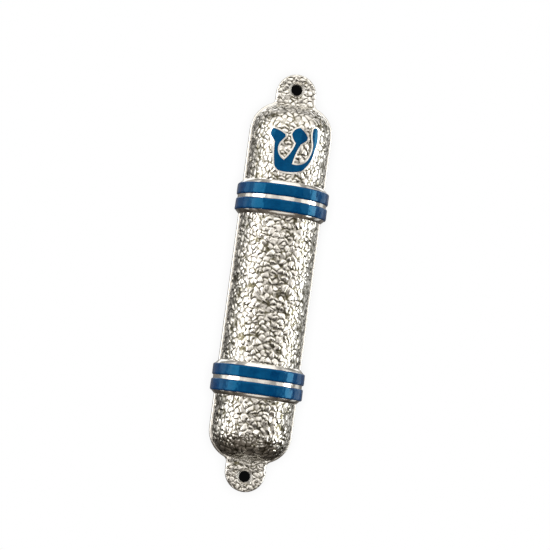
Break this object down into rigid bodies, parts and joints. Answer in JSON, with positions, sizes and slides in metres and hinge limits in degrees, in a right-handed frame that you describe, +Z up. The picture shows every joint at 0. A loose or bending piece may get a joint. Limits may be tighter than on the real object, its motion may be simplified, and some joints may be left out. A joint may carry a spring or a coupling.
{
  "type": "mezuzah case",
  "caption": "Half-round hammered metal mezuzah case with blue enamel bands, two screw ears, a press-in back and a rolled parchment inside.",
  "frame": {"origin": "midway between the two screw holes, on the back face that lies against the doorpost", "axes": "+Z up along the case, -Y out of the front towards the viewer, +X to the right seen from the front"},
  "size_m": [0.024, 0.0138, 0.11],
  "materials": {
    "nickel_plate": "bright nickel plate, hammered",
    "blue_enamel": "glossy blue resin enamel",
    "cover_plastic": "moulded polypropylene",
    "parchment": "dry scraped parchment",
    "clear_film": "clear film"
  },
  "bodies": {
    "case": {"case_shell": "nickel_plate", "upper_band_top_stripe": "blue_enamel", "upper_band_bottom_stripe": "blue_enamel", "lower_band_top_stripe": "blue_enamel", "lower_band_bottom_stripe": "blue_enamel", "letter_enamel": "blue_enamel"},
    "scroll": {"parchment_scroll": "parchment", "scroll_sleeve": "clear_film"},
    "cover": {"rear_cover": "cover_plastic"}
  },
  "joints": [
    {"name": "scroll_lift", "type": "slide", "parent": "case", "child": "scroll", "axis": [0, 1, 0], "range_m": [0, 0.02]},
    {"name": "cover_lift", "type": "slide", "parent": "scroll", "child": "cover", "axis": [0, 1, 0], "range_m": [0, 0.02]}
  ]
}
